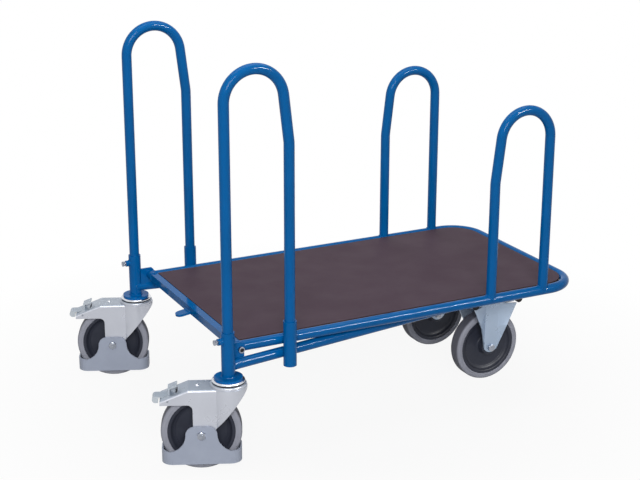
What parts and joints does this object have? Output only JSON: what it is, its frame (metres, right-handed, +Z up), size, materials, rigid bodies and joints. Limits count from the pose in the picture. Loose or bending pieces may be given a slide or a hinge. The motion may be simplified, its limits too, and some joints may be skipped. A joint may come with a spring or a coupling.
{
  "type": "long material cart",
  "caption": "Tubular cart for long material: low plywood deck hinged on a wheeled chassis, tall plug-in side hoops over braked swivel casters, lower hoops on the deck, fixed casters behind.",
  "frame": {"origin": "on the floor under the centre of the cart's bounding box, with the swivel casters as they stand", "axes": "+X along the deck from the push end with the swivel casters to the end with the fixed casters, +Y to the left when facing +X, +Z up"},
  "size_m": [1.2546, 0.7968, 1.003],
  "materials": {
    "blue_paint": "gloss powder coat",
    "film_faced_plywood": "smooth dark brown film",
    "zinc_steel": "bright zinc",
    "bearing_steel": "ground",
    "grey_tyre": "satin grey rubber",
    "dark_rim_plastic": "satin",
    "grey_guard_plastic": "satin",
    "black_plastic": "matte"
  },
  "bodies": {
    "chassis": {"post_left": "blue_paint", "post_right": "blue_paint", "side_socket_left": "blue_paint", "side_socket_right": "blue_paint", "chassis_tube_left": "blue_paint", "chassis_tube_right": "blue_paint", "cross_tubes": "blue_paint", "carrier_plates": "blue_paint", "pivot_bracket_left": "blue_paint", "pivot_bracket_right": "blue_paint", "clamp_bosses": "blue_paint", "deck_pivot_bolts": "zinc_steel", "swivel_races": "zinc_steel", "king_bolts": "zinc_steel", "fixed_fork_left": "zinc_steel", "fixed_fork_right": "zinc_steel", "caster_bolts": "zinc_steel", "caster_nuts": "zinc_steel", "fixed_axle_bolts": "zinc_steel", "fixed_axle_nuts": "zinc_steel", "tube_end_plugs": "black_plastic"},
    "deck": {"deck_frame": "blue_paint", "pivot_sleeves": "blue_paint", "deck_crossmember": "blue_paint", "stop_tab": "blue_paint", "deck_bearers": "blue_paint", "deck_panel": "film_faced_plywood", "panel_screws": "zinc_steel", "rear_hoop_left": "blue_paint", "rear_hoop_right": "blue_paint"},
    "front_hoop_left": {"front_hoop_left": "blue_paint"},
    "clamp_screw_left": {"clamp_screw_left": "zinc_steel"},
    "swivel_left": {"swivel_fork_left": "zinc_steel", "foot_guard_left": "grey_guard_plastic", "swivel_axle_bolt_left": "zinc_steel", "swivel_axle_nut_left": "zinc_steel", "brake_pin_left": "zinc_steel", "swivel_balls_left": "bearing_steel"},
    "brake_left": {"brake_pedal_left": "zinc_steel"},
    "front_wheel_left": {"tyre_front_left": "grey_tyre", "rim_front_left": "dark_rim_plastic", "wheel_bearing_front_left": "bearing_steel"},
    "rear_wheel_left": {"tyre_rear_left": "grey_tyre", "rim_rear_left": "dark_rim_plastic", "wheel_bearing_rear_left": "bearing_steel"},
    "front_hoop_right": {"front_hoop_right": "blue_paint"},
    "clamp_screw_right": {"clamp_screw_right": "zinc_steel"},
    "swivel_right": {"swivel_fork_right": "zinc_steel", "foot_guard_right": "grey_guard_plastic", "swivel_axle_bolt_right": "zinc_steel", "swivel_axle_nut_right": "zinc_steel", "brake_pin_right": "zinc_steel", "swivel_balls_right": "bearing_steel"},
    "brake_right": {"brake_pedal_right": "zinc_steel"},
    "front_wheel_right": {"tyre_front_right": "grey_tyre", "rim_front_right": "dark_rim_plastic", "wheel_bearing_front_right": "bearing_steel"},
    "rear_wheel_right": {"tyre_rear_right": "grey_tyre", "rim_rear_right": "dark_rim_plastic", "wheel_bearing_rear_right": "bearing_steel"}
  },
  "joints": [
    {"name": "deck_lift", "type": "hinge", "parent": "chassis", "child": "deck", "pos_m": [-0.41017, -0.02644, 0.29595], "axis": [0, -1, 0], "range_deg": [0, 60]},
    {"name": "hoop_lift_left", "type": "slide", "parent": "chassis", "child": "front_hoop_left", "axis": [0, 0, 1], "range_m": [0, 0.1]},
    {"name": "clamp_turn_left", "type": "hinge", "parent": "chassis", "child": "clamp_screw_left", "pos_m": [-0.48102, 0.29956, 0.331], "axis": [1, 0, 0], "range_deg": [0, 360]},
    {"name": "swivel_turn_left", "type": "hinge", "parent": "chassis", "child": "swivel_left", "pos_m": [-0.45017, 0.29956, 0.2237], "axis": [0, 0, 1], "continuous": true},
    {"name": "brake_press_left", "type": "hinge", "parent": "swivel_left", "child": "brake_left", "pos_m": [-0.5859, 0.35857, 0.18891], "axis": [0.3987, 0.9171, 0], "range_deg": [0, 12]},
    {"name": "front_wheel_spin_left", "type": "hinge", "parent": "swivel_left", "child": "front_wheel_left", "pos_m": [-0.51253, 0.32667, 0.1], "axis": [0.3987, 0.9171, 0], "continuous": true},
    {"name": "rear_wheel_spin_left", "type": "hinge", "parent": "chassis", "child": "rear_wheel_left", "pos_m": [0.41483, 0.11456, 0.1], "axis": [0, 1, 0], "continuous": true},
    {"name": "hoop_lift_right", "type": "slide", "parent": "chassis", "child": "front_hoop_right", "axis": [0, 0, 1], "range_m": [0, 0.1]},
    {"name": "clamp_turn_right", "type": "hinge", "parent": "chassis", "child": "clamp_screw_right", "pos_m": [-0.48102, -0.35244, 0.331], "axis": [1, 0, 0], "range_deg": [0, 360]},
    {"name": "swivel_turn_right", "type": "hinge", "parent": "chassis", "child": "swivel_right", "pos_m": [-0.45017, -0.35244, 0.2237], "axis": [0, 0, 1], "continuous": true},
    {"name": "brake_press_right", "type": "hinge", "parent": "swivel_right", "child": "brake_right", "pos_m": [-0.5859, -0.29343, 0.18891], "axis": [0.3987, 0.9171, 0], "range_deg": [0, 12]},
    {"name": "front_wheel_spin_right", "type": "hinge", "parent": "swivel_right", "child": "front_wheel_right", "pos_m": [-0.51253, -0.32533, 0.1], "axis": [0.3987, 0.9171, 0], "continuous": true},
    {"name": "rear_wheel_spin_right", "type": "hinge", "parent": "chassis", "child": "rear_wheel_right", "pos_m": [0.41483, -0.16744, 0.1], "axis": [0, 1, 0], "continuous": true}
  ]
}
